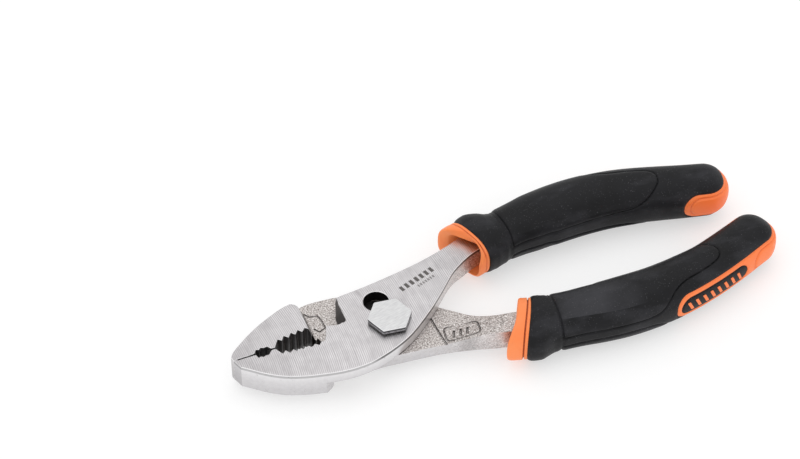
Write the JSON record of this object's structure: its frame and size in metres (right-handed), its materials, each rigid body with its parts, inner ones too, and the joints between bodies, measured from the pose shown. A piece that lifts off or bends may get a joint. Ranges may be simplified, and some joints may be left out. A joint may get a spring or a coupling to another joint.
{
  "type": "slip joint pliers",
  "caption": "Two-position slip-joint pliers with serrated jaws, a hex pivot bolt in a slotted front half, and two-component orange and black grips.",
  "frame": {"origin": "centre of the hex head's top face, on the pivot axis; the plane where the two forged halves meet is 6.7 mm below it, and the jaws are closed in the near slot position", "axes": "-X towards the jaw tips and +X towards the handles, +Y towards the upper jaw and upper handle, +Z out of the front face towards the bolt's hex head"},
  "size_m": [0.1777, 0.0615, 0.0175],
  "materials": {
    "ground_steel": "surface-ground faces, satin sides",
    "forged_steel": "drop forged and blasted, ground on the jaw's faces",
    "bolt_steel": "satin",
    "nut_steel": "satin",
    "core_orange": "fine matte",
    "sleeve_black": "matte, fine grain",
    "badge_black": "matte"
  },
  "bodies": {
    "front": {"front_half": "ground_steel", "upper_core": "core_orange", "upper_sleeve": "sleeve_black", "upper_badge": "badge_black"},
    "pivot": {"pivot_bolt": "bolt_steel", "pivot_nut": "nut_steel"},
    "rear": {"rear_half": "forged_steel", "lower_core": "core_orange", "lower_sleeve": "sleeve_black", "lower_badge": "badge_black"}
  },
  "joints": [
    {"name": "slip_slide", "type": "slide", "parent": "front", "child": "pivot", "axis": [-0.1512, 0.9885, 0], "range_m": [0, 0.0086]},
    {"name": "jaw_hinge", "type": "hinge", "parent": "pivot", "child": "rear", "pos_m": [0, 0, -0.0067], "axis": [0, 0, -1], "range_deg": [0, 42]}
  ]
}
